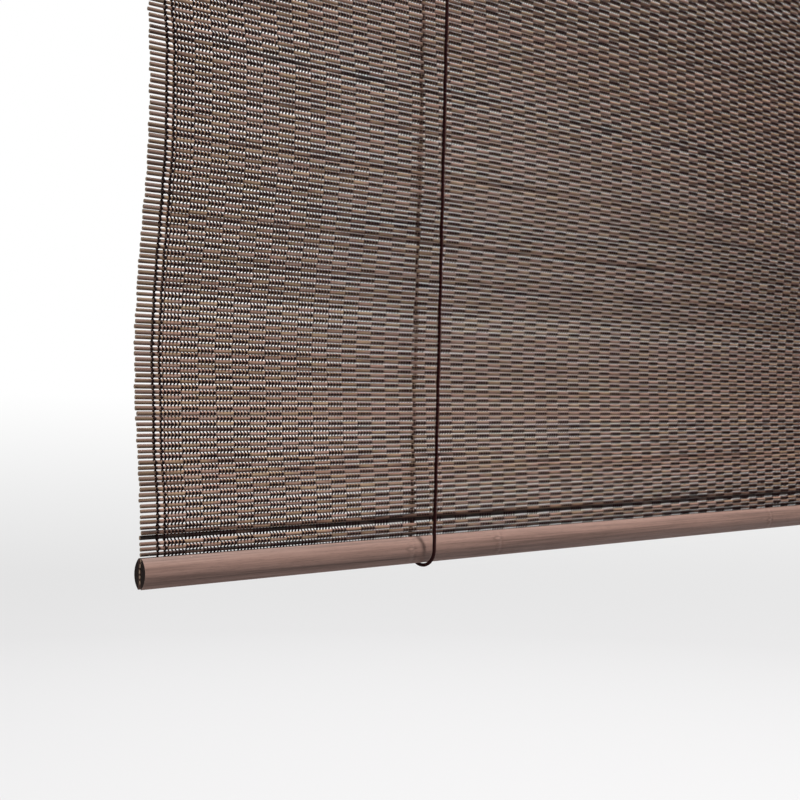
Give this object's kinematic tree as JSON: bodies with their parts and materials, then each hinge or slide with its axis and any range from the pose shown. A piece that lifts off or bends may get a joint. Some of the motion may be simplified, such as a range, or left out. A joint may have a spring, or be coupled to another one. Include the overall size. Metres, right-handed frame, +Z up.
{
  "type": "bamboo roll up blind",
  "caption": "Roll up window blind: a woven mat of dark reeds hung from a wall batten, with a clamped slat rail at its foot that cords lift and roll.",
  "frame": {"origin": "midway between the two wall screw holes, on the back face of the head batten", "axes": "+X to the viewer's right along the reeds, +Y to the wall behind the blind, +Z up"},
  "size_m": [1.01, 0.0342, 1.6031],
  "materials": {
    "batten_wood": "stained satin",
    "slat_bamboo": "stained bamboo, fine grain",
    "reed_weave": "stained bamboo reeds woven with dark thread",
    "lift_cord": "braided cord",
    "eye_steel": "bronzed wire",
    "lock_steel": "zinc plated sheet",
    "guide_plastic": "moulded",
    "roller_brass": "knurled",
    "tassel_wood": "turned, stained"
  },
  "bodies": {
    "head": {"head_batten": "batten_wood", "head_slat": "slat_bamboo", "reed_mat": "reed_weave", "left_guide_eye": "eye_steel", "left_tie_eye": "eye_steel", "right_tie_eye": "eye_steel", "left_tie_loop": "lift_cord", "right_tie_loop": "lift_cord", "left_front_cord": "lift_cord", "right_front_cord": "lift_cord", "left_back_cord": "lift_cord", "right_back_cord": "lift_cord", "left_head_cord": "lift_cord", "right_head_cord": "lift_cord", "lock_body": "lock_steel", "lock_guide": "guide_plastic", "lock_screws": "lock_steel", "tail_knot": "lift_cord", "tassel": "tassel_wood"},
    "slings": {"left_sling": "lift_cord", "right_sling": "lift_cord"},
    "rail": {"rail_front_slat": "slat_bamboo", "rail_back_slat": "slat_bamboo"},
    "roller": {"lock_roller": "roller_brass"}
  },
  "joints": [
    {"name": "rail_lift", "type": "slide", "parent": "head", "child": "slings", "axis": [0, 0, 1], "range_m": [0, 1.47], "deforming": ["reed_mat", "left_front_cord", "right_front_cord", "left_back_cord", "right_back_cord"]},
    {"name": "rail_roll", "type": "hinge", "parent": "slings", "child": "rail", "pos_m": [0, -0.01535, -1.575], "axis": [-1, 0, 0], "range_deg": [0, 3600]},
    {"name": "lock_roller_slide", "type": "slide", "parent": "head", "child": "roller", "axis": [0.5, 0, 0.866], "range_m": [0, 0.006]}
  ],
  "couplings": [
    {"joint": "rail_roll", "follows": "rail_lift", "rad_per_m": 42.743}
  ]
}
